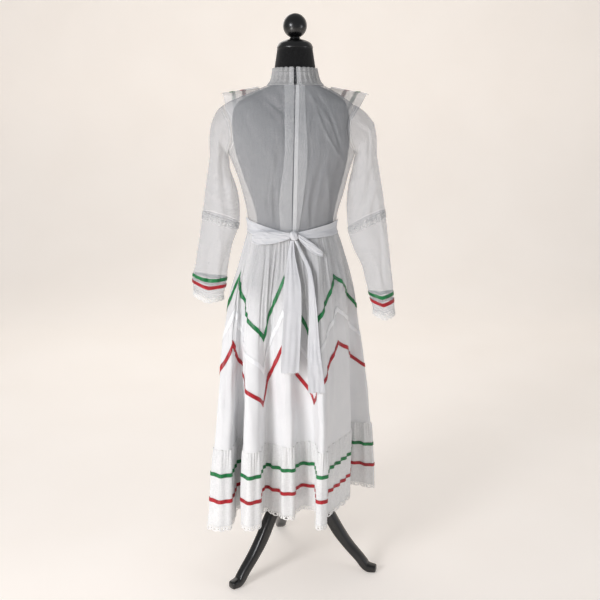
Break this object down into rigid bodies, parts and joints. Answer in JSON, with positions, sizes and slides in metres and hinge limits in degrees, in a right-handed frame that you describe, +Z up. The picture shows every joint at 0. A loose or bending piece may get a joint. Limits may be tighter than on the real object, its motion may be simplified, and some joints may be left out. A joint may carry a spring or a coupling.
{
  "type": "folklorico dress on a dress form",
  "caption": "Long white sheer-cotton dress with green, white and red satin ribbons, lace edges and a back bow, on a black limbless dress form with tripod legs.",
  "frame": {"origin": "middle of the whole part's box, on the floor", "axes": "+Z up, -Y towards the front of the dress, +X towards the wearer's left"},
  "size_m": [0.5958, 0.4616, 1.64],
  "materials": {
    "cotton": "matt, sheer",
    "lace": "matt",
    "white_satin": "satin",
    "green_satin": "satin",
    "red_satin": "satin",
    "jersey": "matt",
    "black_wood": "gloss lacquer"
  },
  "bodies": {
    "root": {"back_left": "cotton", "back_right": "cotton", "front_bodice": "cotton", "zip_facing": "cotton", "yoke_ruffle": "cotton", "upper_sleeve_left": "cotton", "upper_sleeve_right": "cotton", "lower_sleeve_left": "cotton", "lower_sleeve_right": "cotton", "skirt_front": "cotton", "skirt_back": "cotton", "flounce_front": "cotton", "flounce_back": "cotton", "sash_left": "cotton", "sash_right": "cotton", "sash_knot": "cotton", "bow_loop_left": "cotton", "bow_loop_right": "cotton", "bow_tail_left": "cotton", "bow_tail_right": "cotton", "collar_lace": "lace", "elbow_lace_left": "lace", "elbow_lace_right": "lace", "cuff_lace_back_left": "lace", "cuff_lace_front_left": "lace", "cuff_lace_back_right": "lace", "cuff_lace_front_right": "lace", "hem_lace_front": "lace", "hem_lace_back": "lace", "zigzag_white": "white_satin", "zigzag_green": "green_satin", "flounce_ribbon_green": "green_satin", "yoke_green": "green_satin", "cuff_green_left": "green_satin", "cuff_green_right": "green_satin", "zigzag_red": "red_satin", "flounce_ribbon_red": "red_satin", "yoke_red": "red_satin", "cuff_red_left": "red_satin", "cuff_red_right": "red_satin", "form_torso": "jersey", "neck_cap": "black_wood", "finial_knob": "black_wood", "stand_pole": "black_wood", "stand_hub": "black_wood", "leg_1": "black_wood", "leg_2": "black_wood", "leg_3": "black_wood"}
  },
  "joints": []
}
